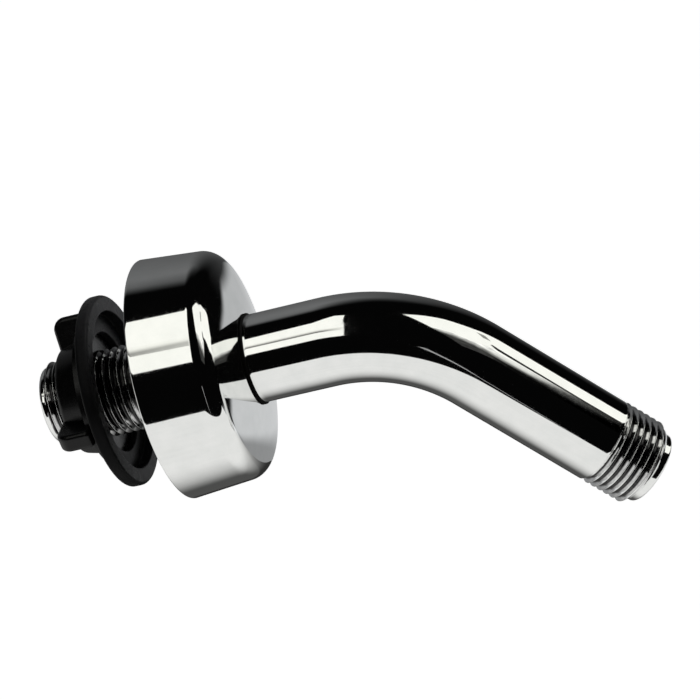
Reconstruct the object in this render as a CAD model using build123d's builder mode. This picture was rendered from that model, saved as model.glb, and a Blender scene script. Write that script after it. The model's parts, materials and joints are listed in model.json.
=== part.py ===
from build123d import *

import os
from math import cos, radians, sin

# Wall-mounted shower arm: bent pipe, bell-shaped cover flange, sealing ring, dished washer and wing nut.
# Millimetres. The origin lies on the inlet axis in the wall plane, where the flange's rim meets the wall.
# +X points out of the wall along the inlet, +Z is up, and the pipe bends down in the XZ plane.

# Pipe
tube_diameter = 21.3
tube_wall = 3.0
straight_run = 17.7  # from the shoulder to the bend
bend_radius = 42.0  # of the pipe's centre line
bend_angle = 50.0
outlet_plain_length = 36.2
outlet_thread_length = 12.4
outlet_thread_rise = 0.1  # thread crests above the plain pipe
relief_width = 0.9  # groove between the plain pipe and the outlet thread, at the crests
relief_floor_width = 0.3
relief_depth = 0.6
shank_step = 0.175  # plain pipe down to the inlet thread's crests
neck_width = 2.0  # groove between the pipe's shoulder and the inlet thread, at the crests
neck_floor_width = 1.6
neck_depth = 0.325
inlet_lead_in = 0.45  # cone from the thread's crests down to the plain nose
inlet_nose_step = 1.1  # thread crest down to the nose
inlet_nose_length = 1.3
outlet_lead_in = 1.3
outlet_nose_step = 1.7
outlet_nose_length = 1.8
nose_rounding_share = 0.5  # of the nose's wall, on its outer edge
bore_chamfer_share = 0.25  # of the nose's wall
bore_overrun = 1.0  # the bore's cutter runs past both ends

# Sealing ring on the neck, between the pipe's shoulder and the flange
ring_thickness = 0.6
ring_overhang = 0.45  # ring beyond the pipe's surface
ring_clearance = 0.05
ring_rounding_share = 0.4  # of the ring's thickness, on each outer edge

# Cover flange
flange_depth = 21.7  # wall plane to the land round the hole
flange_rim_diameter = 58.6
flange_front_diameter = 55.3  # at the corner under the rounded shoulder
flange_wall = 1.6
flange_rounding = 5.0
rim_rounding = 0.3
dome_height = 3.8  # corner to land
dome_bulge = 0.45  # the dome's rise above a straight cone
land_width = 0.8  # flat round the hole, beyond the ring's seat
flange_clearance = 0.25  # flange hole round the shank

# Dished washer
panel_gap = 11.6  # washer face to wall plane, as supplied
washer_hole_diameter = 29.2
washer_floor_width = 4.7
washer_rim_width = 4.1
washer_rim_thickness = 3.2
washer_recess_depth = 2.4
washer_floor_thickness = 1.8
washer_boss_step = 0.8  # boss on the back, inside the recess's radius
washer_rounding = 0.9
washer_hole_rounding = 0.4

# Wing nut
nut_length = 8.7
nut_seat_width = 2.6  # nut base beyond the washer's hole
nut_base_thickness = 2.0
nut_hub_wall = 2.28  # at the hub's free end
nut_hub_taper = 1.6  # hub radius gained towards the base
nut_hub_rounding = 1.5
nut_clearance = 0.1  # nut thread round the shank
wing_count = 3
wing_rest_angle = 29.0  # of the first wing, from straight up towards +Y
wing_reach = 7.4  # beyond the hub's free end
wing_thickness = 4.5
wing_overhang = 0.9  # wing tip behind the hub's end
wing_front_gap = 0.4  # wing behind the nut's front face
wing_tip_rounding = 3.0
wing_front_rounding = 1.5
wing_edge_rounding = 1.1
spare_thread = 4.15  # thread that shows behind the nut

# Places along the inlet axis
shoulder_x = flange_depth + ring_thickness
bend_start_x = shoulder_x + straight_run
washer_front_x = -panel_gap
washer_rim_back_x = washer_front_x - washer_rim_thickness
washer_floor_x = washer_front_x - washer_recess_depth
nut_front_x = washer_floor_x - washer_floor_thickness
nut_back_x = nut_front_x - nut_length
thread_end_x = nut_back_x - spare_thread
inlet_end_x = thread_end_x - inlet_nose_length

# Radii about the inlet axis
tube_radius = tube_diameter / 2
bore_radius = tube_radius - tube_wall
shank_radius = tube_radius - shank_step
neck_radius = shank_radius - neck_depth
outlet_thread_radius = tube_radius + outlet_thread_rise
inlet_nose_radius = shank_radius - inlet_nose_step
outlet_nose_radius = outlet_thread_radius - outlet_nose_step
ring_outer_radius = tube_radius + ring_overhang
flange_hole_radius = shank_radius + flange_clearance
land_radius = ring_outer_radius + land_width
washer_hole_radius = washer_hole_diameter / 2
washer_recess_radius = washer_hole_radius + washer_floor_width
washer_radius = washer_recess_radius + washer_rim_width
nut_bore_radius = shank_radius + nut_clearance
nut_base_radius = washer_hole_radius + nut_seat_width
hub_end_radius = nut_bore_radius + nut_hub_wall
hub_base_radius = hub_end_radius + nut_hub_taper
wing_tip_radius = hub_end_radius + wing_reach

# The pipe's centre line beyond the shoulder
turn = radians(bend_angle)
outlet_direction = Vector(cos(turn), 0, -sin(turn))
bend_start = Vector(bend_start_x, 0, 0)
bend_end = bend_start + Vector(bend_radius * sin(turn), 0, -bend_radius * (1 - cos(turn)))
outlet_thread_start = bend_end + outlet_direction * outlet_plain_length
outlet_end = outlet_thread_start + outlet_direction * (outlet_thread_length + outlet_nose_length)
outlet_axis = Axis(bend_end, outlet_direction)

# Half sections are drawn with their x along the axis of revolution and their y outwards
inlet_section = Plane(origin=(shoulder_x, 0, 0), x_dir=(-1, 0, 0), z_dir=(0, 1, 0))
outlet_section = Plane(origin=outlet_thread_start, x_dir=outlet_direction, z_dir=(0, -1, 0))

os.makedirs("parts", exist_ok=True)


def threaded_end(section, thread_radius, thread_length, lead_in, nose_radius, nose_length):
    """Half section of a threaded pipe end with its lead-in cone and its plain, rounded nose."""
    length = thread_length + nose_length
    rounding = (nose_radius - bore_radius) * nose_rounding_share
    with BuildSketch(section) as half:
        with BuildLine():
            Polyline(
                (0, 0),
                (0, thread_radius),
                (thread_length - lead_in, thread_radius),
                (thread_length, nose_radius),
                (length, nose_radius),
                (length, 0),
                close=True,
            )
        make_face()
        fillet(half.vertices().sort_by_distance((length, nose_radius))[0], rounding)
    return half.sketch


def relief_groove(section, radius, depth, floor_width, width):
    """Half section of a groove beside a shoulder, with a sloping run-out to the thread."""
    with BuildSketch(section) as half:
        with BuildLine():
            Polyline(
                (0, radius),
                (0, radius - depth),
                (floor_width, radius - depth),
                (width, radius),
                close=True,
            )
        make_face()
    return half.sketch


def centre_line(start, end):
    """The pipe's centre line from a point on the inlet axis to one on the outlet axis."""
    with BuildLine() as path:
        Line(start, bend_start)
        TangentArc(bend_start, bend_end, tangent=(1, 0, 0))
        Line(bend_end, end)
    return path.line


# Pipe: plain bent run, threaded ends with their grooves, then the through bore
with BuildPart() as arm:
    with BuildSketch(Plane.YZ.offset(shoulder_x)):
        Circle(tube_radius)
    sweep(path=centre_line(Vector(shoulder_x, 0, 0), outlet_thread_start))
    shank_length = shoulder_x - thread_end_x
    inlet_half = threaded_end(
        inlet_section, shank_radius, shank_length, inlet_lead_in, inlet_nose_radius, inlet_nose_length
    )
    revolve(profiles=inlet_half, axis=Axis.X)
    outlet_half = threaded_end(
        outlet_section,
        outlet_thread_radius,
        outlet_thread_length,
        outlet_lead_in,
        outlet_nose_radius,
        outlet_nose_length,
    )
    revolve(profiles=outlet_half, axis=outlet_axis)
    neck = relief_groove(inlet_section, shank_radius, neck_depth, neck_floor_width, neck_width)
    revolve(profiles=neck, axis=Axis.X, mode=Mode.SUBTRACT)
    relief = relief_groove(outlet_section, outlet_thread_radius, relief_depth, relief_floor_width, relief_width)
    revolve(profiles=relief, axis=outlet_axis, mode=Mode.SUBTRACT)
    bore_start_x = inlet_end_x - bore_overrun
    with BuildSketch(Plane.YZ.offset(bore_start_x)):
        Circle(bore_radius)
    water_way = centre_line(Vector(bore_start_x, 0, 0), outlet_end + outlet_direction * bore_overrun)
    sweep(path=water_way, mode=Mode.SUBTRACT)
    inlet_axis = Axis((0, 0, 0), (-1, 0, 0))
    for end_axis, nose_radius in ((inlet_axis, inlet_nose_radius), (outlet_axis, outlet_nose_radius)):
        end_face = arm.faces().filter_by(GeomType.PLANE).sort_by(end_axis)[-1]
        chamfer(end_face.inner_wires()[0].edges(), (nose_radius - bore_radius) * bore_chamfer_share)
arm.part.label = "arm_pipe"
export_step(arm.part, "parts/arm_pipe.step")

# Sealing ring, round the neck and against the pipe's shoulder
with BuildPart() as ring:
    with BuildSketch(Plane.XZ) as ring_section:
        with BuildLine():
            Polyline(
                (flange_depth, neck_radius + ring_clearance),
                (flange_depth, ring_outer_radius),
                (shoulder_x, ring_outer_radius),
                (shoulder_x, neck_radius + ring_clearance),
                close=True,
            )
        make_face()
        fillet(ring_section.vertices().group_by(Axis.Y)[-1], ring_thickness * ring_rounding_share)
    revolve(axis=Axis.X)
ring.part.label = "sealing_ring"
export_step(ring.part, "parts/sealing_ring.step")


def bell(inset, land, rounding):
    """Half section of the solid bell that lies inset behind the flange's outside, closed to the axis."""
    front_x = flange_depth - inset
    corner = (flange_depth - dome_height - inset, flange_front_diameter / 2 - inset)
    with BuildSketch(Plane.XZ) as half:
        with BuildLine():
            Polyline((front_x, land), (front_x, 0), (0, 0), (0, flange_rim_diameter / 2 - inset), corner)
            SagittaArc(corner, (front_x, land), dome_bulge)
        make_face()
        fillet(half.vertices().sort_by_distance(corner)[0], rounding)
    return half.sketch


# Cover flange: a thin bell with a hole for the shank
with BuildPart() as flange:
    outside = bell(0, land_radius, flange_rounding)
    revolve(profiles=outside, axis=Axis.X)
    inside = bell(flange_wall, flange_hole_radius, flange_rounding - flange_wall)
    revolve(profiles=inside, axis=Axis.X, mode=Mode.SUBTRACT)
    with BuildSketch(Plane.YZ.offset(flange_depth)):
        Circle(flange_hole_radius)
    extrude(amount=-flange_depth, mode=Mode.SUBTRACT)
    rim_edges = flange.edges().filter_by(GeomType.CIRCLE).group_by(Axis.X)[0]
    fillet(rim_edges.sort_by(SortBy.RADIUS)[-1], rim_rounding)
flange.part.label = "cover_flange"
export_step(flange.part, "parts/cover_flange.step")

# Dished washer: thick rim, recessed floor, low boss on the back
with BuildPart() as washer:
    with BuildSketch(Plane.XZ) as washer_section:
        boss_radius = washer_recess_radius - washer_boss_step
        with BuildLine():
            Polyline(
                (washer_floor_x, washer_hole_radius),
                (washer_floor_x, washer_recess_radius),
                (washer_front_x, washer_recess_radius),
                (washer_front_x, washer_radius),
                (washer_rim_back_x, washer_radius),
                (washer_rim_back_x, boss_radius),
                (nut_front_x, boss_radius),
                (nut_front_x, washer_hole_radius),
                close=True,
            )
        make_face()
        fillet(washer_section.vertices().group_by(Axis.Y)[-1], washer_rounding)
        fillet(washer_section.vertices().group_by(Axis.Y)[0], washer_hole_rounding)
    revolve(axis=Axis.X)
washer.part.label = "dished_washer"
export_step(washer.part, "parts/dished_washer.step")

# One wing of the nut, standing straight up from the axis
with BuildPart() as wing:
    front_x = nut_front_x - wing_front_gap
    root_radius = nut_bore_radius
    with BuildSketch(Plane.XZ) as wing_outline:
        with BuildLine():
            Polyline(
                (front_x, root_radius),
                (front_x, wing_tip_radius),
                (nut_back_x - wing_overhang, wing_tip_radius),
                (nut_back_x, root_radius),
                close=True,
            )
        make_face()
        fillet(wing_outline.vertices().group_by(Axis.Y)[-1].sort_by(Axis.X)[0], wing_tip_rounding)
        fillet(wing_outline.vertices().group_by(Axis.Y)[-1].sort_by(Axis.X)[-1], wing_front_rounding)
    extrude(amount=wing_thickness / 2, both=True)
    flat_sides = wing.faces().filter_by(Axis.Y)
    fillet(flat_sides.edges(), wing_edge_rounding)

# Wing nut: flat base, tapered hub, wings in a ring, threaded hole
with BuildPart() as nut:
    with BuildSketch(Plane.XZ) as hub_section:
        base_back_x = nut_front_x - nut_base_thickness
        with BuildLine():
            Polyline(
                (nut_front_x, 0),
                (nut_front_x, nut_base_radius),
                (base_back_x, nut_base_radius),
                (base_back_x, hub_base_radius),
                (nut_back_x, hub_end_radius),
                (nut_back_x, 0),
                close=True,
            )
        make_face()
    revolve(axis=Axis.X)
    fillet(nut.faces().sort_by(Axis.X)[0].edges(), nut_hub_rounding)
    for number in range(wing_count):
        angle = wing_rest_angle + number * 360 / wing_count
        add(wing.part.rotate(Axis.X, -angle))
    with BuildSketch(Plane.YZ.offset(nut_front_x)):
        Circle(nut_bore_radius)
    extrude(amount=-nut_length - wing_overhang, mode=Mode.SUBTRACT)
nut.part.label = "wing_nut"
export_step(nut.part, "parts/wing_nut.step")
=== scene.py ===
import json
from math import atan2, cos, degrees, pi, radians, sin, sqrt, tan

import bmesh
import bpy
from mathutils import Matrix, Vector


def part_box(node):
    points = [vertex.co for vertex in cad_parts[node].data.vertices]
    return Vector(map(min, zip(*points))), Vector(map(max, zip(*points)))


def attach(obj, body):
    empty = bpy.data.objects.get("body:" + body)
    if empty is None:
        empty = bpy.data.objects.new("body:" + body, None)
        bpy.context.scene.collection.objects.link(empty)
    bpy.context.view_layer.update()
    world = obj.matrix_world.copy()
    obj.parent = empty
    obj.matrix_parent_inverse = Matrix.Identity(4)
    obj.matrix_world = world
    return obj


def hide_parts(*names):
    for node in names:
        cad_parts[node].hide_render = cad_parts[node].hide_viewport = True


# Chrome shower arm. The pipe with its cut threads, the bell flange, the washer and the ring are fine meshes
# in the place of their solids, and the wing nut keeps its solid. The object's sizes are millimetres, and its
# meshes are written in metres.
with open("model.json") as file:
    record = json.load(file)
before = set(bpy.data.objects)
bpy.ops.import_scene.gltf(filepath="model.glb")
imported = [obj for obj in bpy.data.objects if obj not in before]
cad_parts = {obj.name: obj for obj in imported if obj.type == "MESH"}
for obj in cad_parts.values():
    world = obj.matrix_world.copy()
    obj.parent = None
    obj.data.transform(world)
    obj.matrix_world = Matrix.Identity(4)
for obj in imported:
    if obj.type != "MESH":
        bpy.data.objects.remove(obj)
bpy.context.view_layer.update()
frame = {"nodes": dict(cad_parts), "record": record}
METRES = 0.001


def node_box(node):
    """Lowest and highest corner of a solid, in millimetres."""
    low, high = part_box(node)
    return low / METRES, high / METRES


# Places and radii that the frame gives
mounts = {mount["name"]: mount for mount in frame["record"]["mounts"]}
outlet = mounts["outlet_thread"]
ring_low, ring_high = node_box("sealing_ring")
washer_low, washer_high = node_box("dished_washer")
inlet_end = node_box("arm_pipe")[0].x
flange_depth = node_box("cover_flange")[1].x
shoulder = ring_high.x
shank_crest = mounts["inlet_thread"]["dims"]["r_mm"]
outlet_crest = outlet["dims"]["r_mm"]
bend_angle = atan2(-outlet["axis"][2], outlet["axis"][0])
washer_radius = washer_high.y
washer_front = washer_high.x
nut_seat = washer_low.x

# Pipe
tube_radius = 10.65
bore_radius = 7.65
straight_run = 17.7
bend_radius = 42.0
outlet_plain = 36.2
neck_width = 2.0
neck_floor = 1.6
neck_depth = 0.325
inlet_lead_in = 0.45
inlet_nose_step = 1.1
inlet_nose_length = 1.3
outlet_lead_in = 1.3
outlet_nose_step = 1.7
outlet_nose_length = 1.8
nose_rounding_share = 0.5
bore_chamfer_share = 0.25
edge_break = 0.12
relief_width = 0.9
relief_floor = 0.3
relief_depth = 0.6

# Pipe threads: 55 degree form with a narrow crest and a round root, fourteen to the inch
pitch = 25.4 / 14
thread_flank = radians(62.5)
thread_depth = 0.64 * pitch
crest_rounding = 0.07 * pitch
thread_fade = 0.5
shank_thread_stop = 10.0

# Sealing ring
ring_clearance = 0.05
ring_rounding_share = 0.4

# Flange
rim_radius = 29.3
rim_rounding = 0.3
front_radius = 27.65
flange_wall = 1.6
flange_rounding = 5.0
dome_height = 3.8
dome_bulge = 0.45
land_radius = 11.9
flange_clearance = 0.25

# Washer
washer_hole = 14.6
washer_recess = 19.3
washer_boss = 18.5
washer_rim_thickness = 3.2
washer_recess_depth = 2.4
washer_rounding = 0.9
washer_break = 0.35
washer_rim_back = washer_front - washer_rim_thickness
washer_floor = washer_front - washer_recess_depth

# Mesh fineness
around = 128
nose_rows = 14
crest_rows = 3
straight_rows = 8
bend_rows = 56
leg_rows = 12
edge_rows = 4
bell_side_rows = 14
bell_bend_rows = 24
dome_rows = 36
rim_rows = 6
ring_rows = 6
washer_flat_rows = 8
washer_back_rows = 6
washer_round_rows = 8
washer_break_rows = 5
joint_gap = pitch / 40
sharp_edge = radians(40)

# Along the pipe's centre line, counted from the wall plane
bend_start = shoulder + straight_run
bend_end = bend_start + bend_radius * bend_angle
outlet_start = bend_end + outlet_plain
outlet_length = outlet["dims"]["length_mm"] + relief_width + outlet_lead_in
outlet_nose = outlet_start + outlet_length
outlet_end = outlet_nose + outlet_nose_length
inlet_nose = inlet_end + inlet_nose_length

# Radii that follow
inlet_nose_radius = shank_crest - inlet_nose_step
outlet_nose_radius = outlet_crest - outlet_nose_step
neck_radius = shank_crest - neck_depth
flange_hole = shank_crest + flange_clearance


def pipe_point(along, radius, angle):
    """Point at a distance along the pipe's centre line, a radius from it and an angle from the top."""
    turned = min(max(along - bend_start, 0), bend_end - bend_start) / bend_radius
    centre = Vector((min(along, bend_start), 0, 0))
    centre += bend_radius * Vector((sin(turned), 0, cos(turned) - 1))
    tangent = Vector((cos(turned), 0, -sin(turned)))
    centre += tangent * max(along - bend_end, 0)
    outward = Vector((sin(turned), 0, cos(turned)))
    return centre + radius * (cos(angle) * outward - sin(angle) * Vector((0, 1, 0)))


def arc(centre, radius, start, end, rows):
    """Points of an arc in a half section, from one angle to another in degrees."""
    angles = [radians(start + (end - start) * row / rows) for row in range(rows + 1)]
    return [(centre[0] + radius * cos(a), centre[1] + radius * sin(a)) for a in angles]


def steps(start, end, rows):
    """Points of a straight stretch, without its two ends, closer together beside them."""
    shares = [(1 - cos(pi * row / rows)) / 2 for row in range(1, rows)]
    return [tuple(a + (b - a) * share for a, b in zip(start, end)) for share in shares]


def put(name, data):
    """A new object in the scene."""
    made = bpy.data.objects.new(name, data)
    bpy.context.scene.collection.objects.link(made)
    return made


def piece(name, points, faces, node, material):
    """A smooth closed mesh that stands for a solid and rides on its body."""
    mesh = bpy.data.meshes.new(name)
    mesh.from_pydata([Vector(p) * METRES for p in points], [], faces)
    shell = bmesh.new()
    shell.from_mesh(mesh)
    bmesh.ops.recalc_face_normals(shell, faces=shell.faces)
    shell.to_mesh(mesh)
    shell.free()
    mesh.polygons.foreach_set("use_smooth", [True] * len(mesh.polygons))
    mesh.set_sharp_from_angle(angle=sharp_edge)
    mesh.materials.append(material)
    made = put(name, mesh)
    body = next(b for b, nodes in frame["record"]["behaviour"]["bodies"].items() if node in nodes)
    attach(made, body)
    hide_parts(node)
    return made


def revolved(name, profile, node, material):
    """A piece from a closed half section that turns about the inlet axis."""
    count = len(profile)
    points = []
    for column in range(around):
        angle = 2 * pi * column / around
        points += [(x, -r * sin(angle), r * cos(angle)) for x, r in profile]
    faces = []
    for column in range(around):
        here, there = column * count, (column + 1) % around * count
        for row in range(count):
            below = (row + 1) % count
            faces.append((here + row, here + below, there + below, there + row))
    piece(name, points, faces, node, material)


def thread_form():
    """One pitch of the thread from root to root, as shares of the pitch and depths below the crest."""
    turns = [thread_flank * row / crest_rows for row in range(crest_rows + 1)]
    run, drop, slope = sin(thread_flank), 1 - cos(thread_flank), tan(thread_flank)
    flank_excess = slope * (pitch / 2 - run * crest_rounding) + drop * crest_rounding - thread_depth
    root_rounding = flank_excess / (slope * run - drop)
    crest = [(crest_rounding * sin(t), crest_rounding * (1 - cos(t))) for t in turns]
    root = [(pitch / 2 - root_rounding * sin(t), thread_depth - root_rounding * (1 - cos(t))) for t in turns]
    half = crest + root[::-1]
    whole = [(-away, drop) for away, drop in reversed(half)] + half[1:-1]
    return [(0.5 + away / pitch, drop) for away, drop in whole]


def ramp(value, start, end):
    """Straight rise from 0 at start to 1 at end."""
    return min(max((value - start) / (end - start), 0), 1)


def shank_blank(along):
    """Radius of the inlet's turned blank, which the thread is cut into."""
    return shank_crest - inlet_nose_step * (1 - ramp(along, inlet_nose, inlet_nose + inlet_lead_in))


def outlet_blank(along):
    """Radius of the outlet's turned blank with its relief groove and lead-in cone."""
    relief = relief_depth * (1 - ramp(along, outlet_start + relief_floor, outlet_start + relief_width))
    cone = outlet_nose_step * ramp(along, outlet_nose - outlet_lead_in, outlet_nose)
    return outlet_crest - max(relief, cone)


class PipeSkin:
    """The pipe's skin as one closed loop of rows, from the inlet over the outside and back in the bore."""

    def __init__(self):
        self.points = []
        self.cuts = []
        self.faces = []
        self.last_row = None
        self.first_row = None

    def add_point(self, along, radius, angle, cut=0.0):
        """Adds a point and how deep it is cut, as a share of the thread's depth, and gives its number."""
        self.points.append(pipe_point(along, radius, angle))
        self.cuts.append(cut)
        return len(self.points) - 1

    def ring(self, along, radius):
        """A row of points round the pipe."""
        return [self.add_point(along, radius, 2 * pi * column / around) for column in range(around)]

    def join(self, row):
        """Faces from the last row to this one."""
        if self.last_row is None:
            self.first_row = row
        else:
            for column in range(around):
                beside = (column + 1) % around
                self.faces.append((self.last_row[column], row[column], row[beside], self.last_row[beside]))
        self.last_row = row

    def plain(self, profile):
        """Rows of a turned stretch, from its places and radii."""
        for along, radius in profile:
            self.join(self.ring(along, radius))

    def threaded(self, start, end, blank, crest):
        """Rows that follow the helix, from the last ring at start to a new ring at end."""
        first = self.last_row
        last = self.ring(end, blank(end))
        form = thread_form()
        rows = (int((end - start) / pitch) + 2) * len(form)
        made = {}

        def corner(row, column):
            turn, place = divmod(row, len(form))
            share, drop = form[place]
            along = start + pitch * (turn - 1 + share + column / around)
            if along < start + joint_gap:
                return first[column]
            if along > end - joint_gap:
                return last[column]
            if (row, column) not in made:
                fade = ramp(along, start, start + thread_fade) * ramp(end - along, 0, thread_fade)
                radius = min(blank(along), crest - drop * fade)
                cut = (blank(along) - radius) / thread_depth
                made[row, column] = self.add_point(along, radius, 2 * pi * column / around, cut)
            return made[row, column]

        for row in range(rows):
            for column in range(around):
                seam = column == around - 1
                beside = (row + len(form), 0) if seam else (row, column + 1)
                loop = [corner(row, column), corner(row + 1, column)]
                loop += [corner(beside[0] + 1, beside[1]), corner(*beside)]
                loop = list(dict.fromkeys(loop))
                if len(loop) > 2:
                    self.faces.append(loop)
        self.last_row = last

    def close(self):
        """Faces from the last row to the first."""
        self.join(self.first_row)


def nose_edges(nose_radius):
    """Rounding outside and chamfer inside of a plain nose, from its wall."""
    wall = nose_radius - bore_radius
    return wall * nose_rounding_share, wall * bore_chamfer_share


def arm_pipe(material):
    """Bent pipe with both threads cut into it and the water bore right through."""
    skin = PipeSkin()
    rounding, chamfer = nose_edges(inlet_nose_radius)
    skin.plain([(inlet_end + chamfer, bore_radius), (inlet_end, bore_radius + chamfer)])
    skin.plain(arc((inlet_end + rounding, inlet_nose_radius - rounding), rounding, 180, 90, nose_rows))
    skin.plain([(inlet_nose, inlet_nose_radius)])
    skin.threaded(inlet_nose, shank_thread_stop, shank_blank, shank_crest)
    skin.plain([(shoulder - neck_width, shank_crest), (shoulder - neck_floor, neck_radius)])
    tube_from = (shoulder + edge_break, tube_radius)
    bend_from = (bend_start, tube_radius)
    skin.plain([(shoulder, neck_radius), (shoulder, tube_radius - edge_break), tube_from])
    skin.plain(steps(tube_from, bend_from, straight_rows) + [bend_from])
    bend_step = (bend_end - bend_start) / bend_rows
    skin.plain([(bend_start + bend_step * row, tube_radius) for row in range(1, bend_rows + 1)])
    tube_to = (outlet_start - edge_break, tube_radius)
    skin.plain(steps((bend_end, tube_radius), tube_to, leg_rows))
    skin.plain(arc((tube_to[0], tube_radius - edge_break), edge_break, 90, 0, edge_rows))
    skin.plain([(outlet_start, outlet_crest - relief_depth)])
    skin.plain([(outlet_start + relief_floor, outlet_crest - relief_depth)])
    skin.threaded(outlet_start + relief_floor, outlet_nose, outlet_blank, outlet_crest)
    rounding, chamfer = nose_edges(outlet_nose_radius)
    skin.plain(arc((outlet_end - rounding, outlet_nose_radius - rounding), rounding, 90, 0, nose_rows))
    skin.plain([(outlet_end, bore_radius + chamfer), (outlet_end - chamfer, bore_radius)])
    bore_step = bend_step * 2
    skin.plain([(bend_end - bore_step * row, bore_radius) for row in range(bend_rows // 2 + 1)])
    skin.close()
    made = piece("chrome_arm", skin.points, skin.faces, "arm_pipe", material)
    made.data.attributes.new("thread_cut", "FLOAT", "POINT").data.foreach_set("value", skin.cuts)


def bell_side(inset, land):
    """One side of the flange's wall, from the rim to the land, lying inset behind the outside."""
    rim = Vector((0, rim_radius - inset))
    corner = Vector((flange_depth - dome_height - inset, front_radius - inset))
    edge = Vector((flange_depth - inset, land))
    rounding = flange_rounding - inset
    # The dome is an arc that bulges over the chord from the corner to the land
    chord = edge - corner
    half = chord.length / 2
    dome_radius = (half * half + dome_bulge * dome_bulge) / (2 * dome_bulge)
    inward = Vector((-abs(chord.y), -abs(chord.x))).normalized()
    dome_centre = (corner + edge) / 2 + inward * (dome_radius - dome_bulge)
    # The bend touches the straight side and the dome, so its centre lies a rounding inside both
    side = (corner - rim).normalized()
    normal = Vector((-side.y, side.x))
    foot = rim - normal * rounding
    offset = foot - dome_centre
    middle = offset.dot(side)
    reach = dome_radius - rounding
    along = -middle + sqrt(middle * middle - offset.length_squared + reach * reach)
    bend_centre = foot + side * along
    from_centre = (bend_centre - dome_centre).normalized()
    start = degrees(atan2(normal.y, normal.x))
    end = degrees(atan2(from_centre.y, from_centre.x))
    land_direction = edge - dome_centre
    finish = degrees(atan2(land_direction.y, land_direction.x))
    bend = arc(bend_centre, rounding, start, end, bell_bend_rows)
    dome = arc(dome_centre, dome_radius, end, finish, dome_rows)
    return [tuple(rim)] + steps(rim, rim + side * along, bell_side_rows) + bend + dome[1:]


def rounded_rim(side):
    """The outside of the bell with its rim's sharp edge rounded off."""
    slope = atan2(rim_radius - front_radius, flange_depth - dome_height)
    height = rim_radius - rim_rounding * (1 + sin(slope)) / cos(slope)
    edge = arc((rim_rounding, height), rim_rounding, 180, 90 - degrees(slope), rim_rows)
    return edge + [point for point in side if point[0] > edge[-1][0]]


def cover_flange(material):
    """Bell-shaped cover, open at the back."""
    outside = rounded_rim(bell_side(0, land_radius))
    inside = bell_side(flange_wall, flange_hole)
    hole = [(flange_depth, flange_hole)]
    revolved("bell_flange", outside + hole + inside[::-1], "cover_flange", material)


def sealing_ring(material):
    """Thin rubber ring between the pipe's shoulder and the flange."""
    outer = ring_high.y
    inner = neck_radius + ring_clearance
    rounding = (ring_high.x - ring_low.x) * ring_rounding_share
    profile = [(ring_low.x, inner)]
    profile += arc((ring_low.x + rounding, outer - rounding), rounding, 180, 90, ring_rows)
    profile += arc((ring_high.x - rounding, outer - rounding), rounding, 90, 0, ring_rows)
    profile += [(ring_high.x, inner)]
    revolved("rubber_ring", profile, "sealing_ring", material)


def dished_washer(material):
    """Moulded washer with a sunk floor and broken edges."""
    small = washer_break
    large = washer_rounding
    floor_in = (washer_floor, washer_hole + small)
    floor_out = (washer_floor, washer_recess - small)
    front_in = (washer_front, washer_recess + small)
    front_out = (washer_front, washer_radius - large)
    back_out = (washer_rim_back, washer_radius - large)
    back_in = (washer_rim_back, washer_boss)
    profile = [floor_in]
    profile += steps(floor_in, floor_out, washer_flat_rows)
    profile += arc((washer_floor + small, washer_recess - small), small, 180, 90, washer_break_rows)
    profile += arc((washer_front - small, washer_recess + small), small, 270, 360, washer_break_rows)
    profile += steps(front_in, front_out, washer_flat_rows)
    profile += arc((washer_front - large, washer_radius - large), large, 0, 90, washer_round_rows)
    profile += arc((washer_rim_back + large, washer_radius - large), large, 90, 180, washer_round_rows)
    profile += steps(back_out, back_in, washer_back_rows)
    profile += [back_in, (nut_seat + small, washer_boss)]
    profile += [(nut_seat, washer_boss - small), (nut_seat, washer_hole + small)]
    profile += arc((nut_seat + small, washer_hole + small), small, 180, 270, washer_break_rows)[1:]
    profile += arc((washer_floor - small, washer_hole + small), small, 270, 360, washer_break_rows)[:-1]
    revolved("moulded_washer", profile, "dished_washer", material)


def wing_nut(material):
    """The nut keeps its solid and takes the moulded finish."""
    nut = frame["nodes"]["wing_nut"]
    nut.data.materials.clear()
    nut.data.materials.append(material)


# Finishes: noise scales are repeats per metre, and relief heights are metres
plating_scale = 260
# This noise leads both the worn plating and the painted shade in the thread roots
thread_wear_and_shade_scale = 1800
haze_scale = 900
polish_scale = 120
polish_height = 0.00001
tool_passes = 3
tool_mark_share = 0.1
mottle_scale = 180
sheen_scale = 420
skin_scale = 2600
washer_skin_height = 0.000001
nut_skin_height = 0.000004
rubber_scale = 1500
rubber_height = 0.000003

# Shares of the thread's depth between which the plating wears, darkens with painted shade and dulls
worn_cut = (0.02, 0.2)
root_shade_cut = (0.5, 0.9)
dull_cut = (0.05, 0.4)

# Roughness of the plating, and what a cut thread adds to it
haze_roughness = (0.02, 0.07)
dull_roughness = 0.04


def new_material(name):
    """A node material, returned with its node tree and its shader."""
    material = bpy.data.materials.new(name)
    material.use_nodes = True
    tree = material.node_tree
    return material, tree, tree.nodes["Principled BSDF"]


def noise(tree, scale, detail=4.0):
    """Noise over the piece's own coordinates, in repeats per metre."""
    place = tree.nodes.new("ShaderNodeTexCoord")
    texture = tree.nodes.new("ShaderNodeTexNoise")
    texture.inputs["Scale"].default_value = scale
    texture.inputs["Detail"].default_value = detail
    tree.links.new(place.outputs["Object"], texture.inputs["Vector"])
    return texture.outputs["Fac"]


def rise(tree, value, start, end, low=0.0, high=1.0, smooth=True):
    """A value mapped from start...end to low...high, held beyond them."""
    mapping = tree.nodes.new("ShaderNodeMapRange")
    mapping.interpolation_type = "SMOOTHSTEP" if smooth else "LINEAR"
    mapping.inputs["From Min"].default_value = start
    mapping.inputs["From Max"].default_value = end
    mapping.inputs["To Min"].default_value = low
    mapping.inputs["To Max"].default_value = high
    tree.links.new(value, mapping.inputs["Value"])
    return mapping.outputs["Result"]


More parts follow.
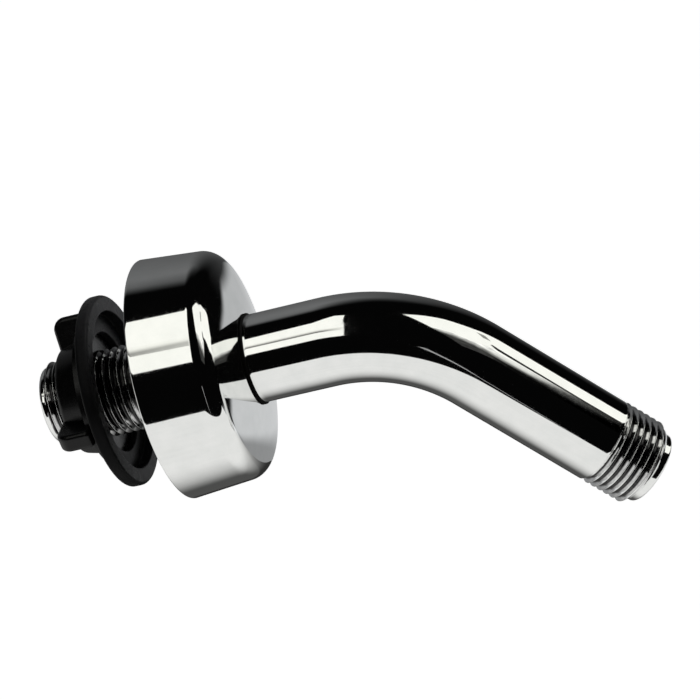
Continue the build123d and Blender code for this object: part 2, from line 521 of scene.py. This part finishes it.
def spread(tree, value, low, high):
    """The middle of a noise's range, spread from low to high."""
    return rise(tree, value, 0.3, 0.7, low, high, smooth=False)


def combine(tree, operation, *values):
    """A maths node over sockets and plain numbers."""
    maths = tree.nodes.new("ShaderNodeMath")
    maths.operation = operation
    for slot, value in zip(maths.inputs, values):
        if isinstance(value, (int, float)):
            slot.default_value = value
        else:
            tree.links.new(value, slot)
    return maths.outputs["Value"]


def product(tree, *values):
    """All the values multiplied together."""
    result = values[0]
    for value in values[1:]:
        result = combine(tree, "MULTIPLY", result, value)
    return result


def tint(tree, value, dark, light):
    """A colour between two, led by a noise."""
    mix = tree.nodes.new("ShaderNodeMix")
    mix.data_type = "RGBA"
    mix.inputs["A"].default_value = (*dark, 1)
    mix.inputs["B"].default_value = (*light, 1)
    tree.links.new(spread(tree, value, 0, 1), mix.inputs["Factor"])
    return mix.outputs["Result"]


def blend(tree, share, first, second):
    """A colour that goes over from one socket's to another's."""
    mix = tree.nodes.new("ShaderNodeMix")
    mix.data_type = "RGBA"
    tree.links.new(share, mix.inputs["Factor"])
    tree.links.new(first, mix.inputs["A"])
    tree.links.new(second, mix.inputs["B"])
    return mix.outputs["Result"]


def bump(tree, shader, value, height):
    """Small relief, with its height in metres."""
    relief = tree.nodes.new("ShaderNodeBump")
    relief.inputs["Distance"].default_value = height
    tree.links.new(value, relief.inputs["Height"])
    tree.links.new(relief.outputs["Normal"], shader.inputs["Normal"])


def chrome(name):
    """Mirror plating with faint polishing waves and a thin haze, duller and darker down in cut threads,
    where painted shade darkens the roots.
    """
    material, tree, shader = new_material(name)
    shader.inputs["Metallic"].default_value = 1.0
    attribute = tree.nodes.new("ShaderNodeAttribute")
    attribute.attribute_name = "thread_cut"
    cut = attribute.outputs["Fac"]
    plating = tint(tree, noise(tree, plating_scale), (0.84, 0.85, 0.84), (0.89, 0.895, 0.885))
    worn = tint(tree, noise(tree, thread_wear_and_shade_scale), (0.66, 0.66, 0.665), (0.86, 0.86, 0.855))
    # Painted shade: a near-black colour that takes over deep in the thread roots, where shade would fall
    root_shade = tint(tree, noise(tree, thread_wear_and_shade_scale), (0.03, 0.03, 0.035), (0.1, 0.1, 0.095))
    flank = blend(tree, rise(tree, cut, *worn_cut), plating, worn)
    colour = blend(tree, rise(tree, cut, *root_shade_cut), flank, root_shade)
    tree.links.new(colour, shader.inputs["Base Color"])
    haze = spread(tree, noise(tree, haze_scale, detail=6), *haze_roughness)
    roughness = combine(tree, "ADD", haze, rise(tree, cut, *dull_cut, high=dull_roughness))
    tree.links.new(roughness, shader.inputs["Roughness"])
    tool_marks = combine(tree, "SINE", combine(tree, "MULTIPLY", cut, 2 * pi * tool_passes))
    polish = noise(tree, polish_scale, detail=1)
    waves = combine(tree, "MULTIPLY_ADD", tool_marks, tool_mark_share, polish)
    bump(tree, shader, waves, polish_height)
    return material


def black_compound(name, dark, light, smooth, rough, shine):
    """Black moulded material with an uneven sheen, between its smoothest and roughest."""
    material, tree, shader = new_material(name)
    shader.inputs["Specular IOR Level"].default_value = shine
    tree.links.new(tint(tree, noise(tree, mottle_scale), dark, light), shader.inputs["Base Color"])
    tree.links.new(spread(tree, noise(tree, sheen_scale), smooth, rough), shader.inputs["Roughness"])
    return material, tree, shader


def washer_plastic():
    """Smooth black moulding with a dull shine."""
    dark, light = (0.02, 0.02, 0.021), (0.028, 0.028, 0.029)
    material, tree, shader = black_compound(
        "washer_plastic", dark, light, smooth=0.25, rough=0.35, shine=0.03)
    bump(tree, shader, noise(tree, skin_scale, detail=3), washer_skin_height)
    return material


def nut_plastic():
    """Half-matt black moulding with a fine grained skin."""
    dark, light = (0.004, 0.004, 0.0045), (0.007, 0.007, 0.0075)
    material, tree, shader = black_compound(
        "nut_plastic", dark, light, smooth=0.22, rough=0.3, shine=0.25)
    bump(tree, shader, noise(tree, skin_scale, detail=3), nut_skin_height)
    return material


def rubber():
    """Dull black rubber."""
    dark, light = (0.004, 0.004, 0.004), (0.008, 0.008, 0.008)
    material, tree, shader = black_compound(
        "rubber", dark, light, smooth=0.6, rough=0.75, shine=0.03)
    bump(tree, shader, noise(tree, rubber_scale), rubber_height)
    return material


# Camera, at the photograph's viewing angle and leaning as it does
view_azimuth = radians(14.49)
view_elevation = radians(27.81)
view_roll = radians(19.92)
view_distance = 600.0
view_aim = Vector((42.64, 7.04, -7.32))
view_lens = 128.86
view_sensor = 36
view_nearest = 0.01
view_farthest = 50

level = Vector((cos(view_azimuth), sin(view_azimuth), 0))
forward = Vector((-sin(view_azimuth), cos(view_azimuth), 0))
back = Vector((0, 0, 1)) * sin(view_elevation) - forward * cos(view_elevation)
up = back.cross(level) * cos(view_roll) + level * sin(view_roll)
right = up.cross(back)
view_axes = Matrix((right, up, back)).transposed().to_4x4()


def photo_camera():
    """The camera of the main view."""
    lens = bpy.data.cameras.new("photo_camera")
    lens.lens = view_lens
    lens.sensor_width = view_sensor
    lens.clip_start = view_nearest
    lens.clip_end = view_farthest
    camera = put("photo_camera", lens)
    camera.matrix_world = Matrix.Translation((view_aim + back * view_distance) * METRES) @ view_axes
    bpy.context.scene.camera = camera


# Studio: a dark room with windows and a pale table, which only reflections see. It stands in the main view's
# axes, x right, y up and z to the camera. Its sizes are metres, and its lights are shares of white.
studio_axes = Matrix.Translation(view_aim * METRES) @ view_axes
room_radius = 1.9
room_fineness = 5
room_light = 0.0015
wall_light = 0.16
least_behind = 0.05
table_drop = 0.22
table_front = 0.26
table_reach = 1.85
table_light = 0.86
table_shadow = 0.18
table_grain_scale = 60
foliage_distance = 1.7
foliage_scale = 9
window_distance = 1.6
bar_distance = 1.36
pane_light = 1.09
post_light = 0.3
gap_light = 0.02
slim_light = 0.4

# Corners of the panes and bars as directions, longitude and latitude in degrees
left_window_corners = [
    (-18.5, 5.5), (-20.5, 20), (-23, 32), (-27, 43), (-33.5, 56.5),
    (-42.5, 56.5), (-46.5, 49), (-50, 38), (-46, 6)]
left_bar_corners = [(-22, 20), (-22, 27.5), (-54, 27.5), (-54, 20)]
right_window_corners = [(15, 63), (40, 64.5), (60, 62), (60, 33), (45, 31), (36, 36), (22, 39)]
side_window_corners = [(60, 62), (69, 57.5), (78, 53), (84, 51), (90, 46.5), (90, 20.5), (75, 29), (60, 33)]
far_window_corners = [
    (90, 46.5), (96, 41.5), (104, 36), (112, 30),
    (119, 24), (118.5, 16.5), (105, 16.5), (90, 20.5)]
low_pane_corners = [(21.5, 40), (36, 38), (60, 37), (68, 30), (60, 21), (48, 12), (27, 15)]
right_post_corners = [(66, 43.5), (72, 49.5), (77, 47), (71, 41.5)]
right_gap_corners = [(59.5, 31), (61, 36), (64.5, 37), (67, 29), (64.5, 28.5)]
slim_edge_corners = [(3, -13), (5, -13), (13, -34), (17.5, -38), (16.8, -38.3), (11.5, -34)]

# Light on the object, and the floor
fill_light = 0.08
key_light = 0.92
lamp_direction = (102, 61)
lamp_distance = 1.2
lamp_size = 0.7
floor_drop = 2.1
floor_reach = 8.0
floor_colour = (0.9, 0.9, 0.9, 1)
floor_roughness = 0.9
floor_glow = 0.92


def towards(longitude, latitude, distance):
    """Point of the studio in a direction, with longitude 0 at the camera and latitude up the picture."""
    flat = cos(radians(latitude)) * distance
    height = sin(radians(latitude)) * distance
    return (flat * sin(radians(longitude)), height, flat * cos(radians(longitude)))


def glow(name, colour, strength=1.0):
    """A glowing material."""
    material = bpy.data.materials.new(name)
    material.use_nodes = True
    tree = material.node_tree
    tree.nodes.clear()
    emission = tree.nodes.new("ShaderNodeEmission")
    emission.inputs["Color"].default_value = (*colour, 1)
    emission.inputs["Strength"].default_value = strength
    surface = tree.nodes.new("ShaderNodeOutputMaterial")
    tree.links.new(emission.outputs["Emission"], surface.inputs["Surface"])
    return material


def shade_glow(material, shade):
    """Lets a socket lead the strength of a glowing material."""
    tree = material.node_tree
    tree.links.new(shade, tree.nodes["Emission"].inputs["Strength"])


def places(tree):
    """The three coordinates of the studio, as sockets."""
    place = tree.nodes.new("ShaderNodeTexCoord")
    axes = tree.nodes.new("ShaderNodeSeparateXYZ")
    tree.links.new(place.outputs["Object"], axes.inputs["Vector"])
    return [axes.outputs[axis] for axis in "XYZ"]


def studio_object(name, mesh, material):
    """Part of the studio that shows only in glossy surfaces."""
    mesh.materials.append(material)
    made = put(name, mesh)
    made.matrix_world = studio_axes
    made.visible_camera = False
    made.visible_diffuse = False
    made.visible_transmission = False
    made.visible_shadow = False


def card(name, corners, material):
    """A card with its corners in the studio's metres."""
    mesh = bpy.data.meshes.new(name)
    mesh.from_pydata(corners, [], [tuple(range(len(corners)))])
    studio_object(name, mesh, material)


def window_card(name, directions, material, distance=window_distance):
    """A card with its corners in the given directions."""
    card(name, [towards(*direction, distance) for direction in directions], material)


def grey_wall(tree, x, y, behind):
    """The wall behind the object, lighter to the left and unlit under the ceiling."""
    sideways = combine(tree, "DIVIDE", x, combine(tree, "MAXIMUM", behind, least_behind))
    leftwards = rise(tree, sideways, 0.95, -0.8, high=wall_light)
    below_ceiling = rise(tree, y, 0.995, 0.85)
    return product(tree, leftwards, below_ceiling, rise(tree, behind, 0.03, 0.24))


def pale_band(tree, x, y, behind):
    """The lit strip low behind the object, with a rising and falling upper edge and a sharp right end."""
    climb, fall, lean = 0.34, 0.19, 0.31
    rising = combine(tree, "MULTIPLY_ADD", x, -climb, y)
    falling = combine(tree, "MULTIPLY_ADD", x, fall, y)
    inward = combine(tree, "MULTIPLY_ADD", y, -lean, behind)
    lit = rise(tree, y, 0.2, 0.05, low=0.5, high=0.64)
    under_edge = product(tree, rise(tree, rising, 0.175, 0.12), rise(tree, falling, 0.45, 0.415))
    return product(tree, lit, under_edge, rise(tree, inward, 0.49, 0.54), rise(tree, x, -0.35, -0.05))


def far_floor(tree, behind):
    """What lies beyond the table, in shadow right behind the object."""
    lit = rise(tree, behind, 0.6, 0.42, low=0.3, high=0.9)
    return product(tree, lit, rise(tree, behind, -0.05, 0.2))


def dark_room():
    """The unlit room, with a grey wall and a pale band, painted by direction in shares of its radius."""
    material = glow("dark_room", (0.97, 0.985, 1.0))
    tree = material.node_tree
    x, y, z = [combine(tree, "DIVIDE", place, room_radius) for place in places(tree)]
    behind = combine(tree, "MULTIPLY", z, -1)
    above = combine(tree, "MAXIMUM", grey_wall(tree, x, y, behind), pale_band(tree, x, y, behind))
    below = rise(tree, y, -0.03, -0.07)
    gained = combine(tree, "SUBTRACT", far_floor(tree, behind), above)
    shade = combine(tree, "MULTIPLY_ADD", below, gained, above)
    shade_glow(material, combine(tree, "ADD", shade, room_light))
    shell = bmesh.new()
    bmesh.ops.create_icosphere(shell, subdivisions=room_fineness, radius=room_radius)
    mesh = bpy.data.meshes.new("dark_room")
    shell.to_mesh(mesh)
    shell.free()
    studio_object("dark_room", mesh, material)


def pale_table():
    """The table under the object, with the shadow that widens behind it."""
    material = glow("pale_table", (1.0, 1.0, 0.985))
    tree = material.node_tree
    x, _, z = places(tree)
    behind = combine(tree, "MULTIPLY", z, -1)
    shadow_lean, shadow_offset = 0.2, -0.03
    shadow_middle = combine(tree, "MULTIPLY_ADD", behind, shadow_lean, shadow_offset)
    aside = combine(tree, "ABSOLUTE", combine(tree, "SUBTRACT", x, shadow_middle))
    turn = combine(tree, "ARCTAN2", aside, combine(tree, "MAXIMUM", behind, least_behind))
    near_shade = rise(tree, behind, -0.02, 0.2, low=table_light, high=table_shadow)
    core = product(tree, rise(tree, turn, 0.6, 0.2, high=0.1), rise(tree, behind, 0, 0.2))
    far_shade = rise(tree, behind, 0.43, 0.57, high=0.05)
    shade = combine(tree, "SUBTRACT", combine(tree, "SUBTRACT", near_shade, core), far_shade)
    gained = product(tree, combine(tree, "SUBTRACT", table_light, shade), rise(tree, turn, 0.38, 1.36))
    grain = spread(tree, noise(tree, table_grain_scale, detail=5), 0.975, 1.015)
    shade_glow(material, product(tree, combine(tree, "ADD", shade, gained), grain))
    sides = ((-1, table_front), (1, table_front), (1, -table_reach), (-1, -table_reach))
    card("pale_table", [(side * table_reach, -table_drop, depth) for side, depth in sides], material)


def left_bar():
    """Material of the left window's cross bar, dark along its lower edge and lighter to the right."""
    material = glow("left_bar", (1.0, 1.0, 0.93))
    tree = material.node_tree
    x, y, _ = places(tree)
    upwards = rise(tree, y, 0.47, 0.61, low=0.12, high=1.05)
    rightwards = rise(tree, x, -0.7, -0.45, high=0.9)
    shade_glow(material, combine(tree, "MAXIMUM", upwards, rightwards))
    return material


def foliage():
    """Material of the mottled view low on the right, darker to the left and dim past a slanting edge."""
    material = glow("foliage", (1.0, 1.0, 0.95))
    tree = material.node_tree
    x, y, _ = places(tree)
    height_share, edge_slope, edge_offset = 1.5, 2.2, 2.0
    height = combine(tree, "MULTIPLY_ADD", y, height_share, x)
    mottle = spread(tree, noise(tree, foliage_scale, detail=3), 0.5, 1.25)
    inside = combine(tree, "ADD", combine(tree, "MULTIPLY_ADD", x, -edge_slope, y), edge_offset)
    dim = rise(tree, inside, -0.15, -0.02, high=0.08)
    lit = combine(tree, "ADD", rise(tree, inside, -0.02, 0.06), dim)
    upwards = rise(tree, height, 1.85, 2.36, low=0.05, high=1.05)
    shade_glow(material, product(tree, upwards, lit, mottle))
    return material


def windows():
    """The left window, the row of panes on the right, their bars, and a slim bright edge in front."""
    pane = glow("window", (1.0, 1.0, 0.94), pane_light)
    post = glow("window_post", (1.0, 1.0, 0.92), post_light)
    gap = glow("window_gap", (1.0, 1.0, 1.0), gap_light)
    slim = glow("slim_edge", (1.0, 1.0, 1.0), slim_light)
    window_card("left_window", left_window_corners, pane)
    window_card("left_bar", left_bar_corners, left_bar(), bar_distance)
    window_card("right_window", right_window_corners, pane)
    window_card("side_window", side_window_corners, pane)
    window_card("far_window", far_window_corners, pane)
    window_card("low_pane", low_pane_corners, foliage(), foliage_distance)
    window_card("right_post", right_post_corners, post, bar_distance)
    window_card("right_gap", right_gap_corners, gap, bar_distance)
    window_card("slim_edge", slim_edge_corners, slim)


def seen_directly(tree):
    """1 for rays that show the background to the camera, also in metal and glass, and 0 for the rest."""
    path = tree.nodes.new("ShaderNodeLightPath").outputs
    seen = combine(tree, "MAXIMUM", path["Is Camera Ray"], path["Is Glossy Ray"])
    return combine(tree, "MAXIMUM", seen, path["Is Transmission Ray"])


def even_light():
    """White background, which lights the object weakly from all round."""
    world = bpy.data.worlds.new("studio")
    world.use_nodes = True
    tree = world.node_tree
    background = tree.nodes["Background"]
    background.inputs["Color"].default_value = (1, 1, 1, 1)
    strength = rise(tree, seen_directly(tree), 0, 1, fill_light, 1.0, smooth=False)
    tree.links.new(strength, background.inputs["Strength"])
    bpy.context.scene.world = world


def soft_lamp():
    """Large lamp high above on the right, which gives white that faces it the brightness key_light."""
    light = bpy.data.lights.new("key_light", "AREA")
    light.size = lamp_size
    light.energy = key_light * pi * pi * lamp_distance * lamp_distance
    place = studio_axes @ Vector(towards(*lamp_direction, lamp_distance))
    turn = (studio_axes.translation - place).to_track_quat("-Z", "Y")
    lamp = put("key_light", light)
    lamp.matrix_world = Matrix.LocRotScale(place, turn, None)
    lamp.visible_camera = False
    lamp.visible_glossy = False


def pale_floor():
    """Plain pale floor far below the arm, which hangs on a wall."""
    sides = ((-1, -1), (1, -1), (1, 1), (-1, 1))
    mesh = bpy.data.meshes.new("floor")
    mesh.from_pydata([(x * floor_reach, y * floor_reach, -floor_drop) for x, y in sides], [], [(0, 1, 2, 3)])
    material, tree, shader = new_material("floor")
    shader.inputs["Base Color"].default_value = floor_colour
    shader.inputs["Roughness"].default_value = floor_roughness
    shader.inputs["Emission Color"].default_value = (1, 1, 1, 1)
    glowing = combine(tree, "MULTIPLY", seen_directly(tree), floor_glow)
    tree.links.new(glowing, shader.inputs["Emission Strength"])
    mesh.materials.append(material)
    floor = put("floor", mesh)


# The object
arm_pipe(chrome("pipe_chrome"))
cover_flange(chrome("flange_chrome"))
sealing_ring(rubber())
dished_washer(washer_plastic())
wing_nut(nut_plastic())

# The stage
photo_camera()
pale_floor()
dark_room()
pale_table()
windows()
even_light()
soft_lamp()
bpy.context.scene.view_settings.view_transform = "Standard"
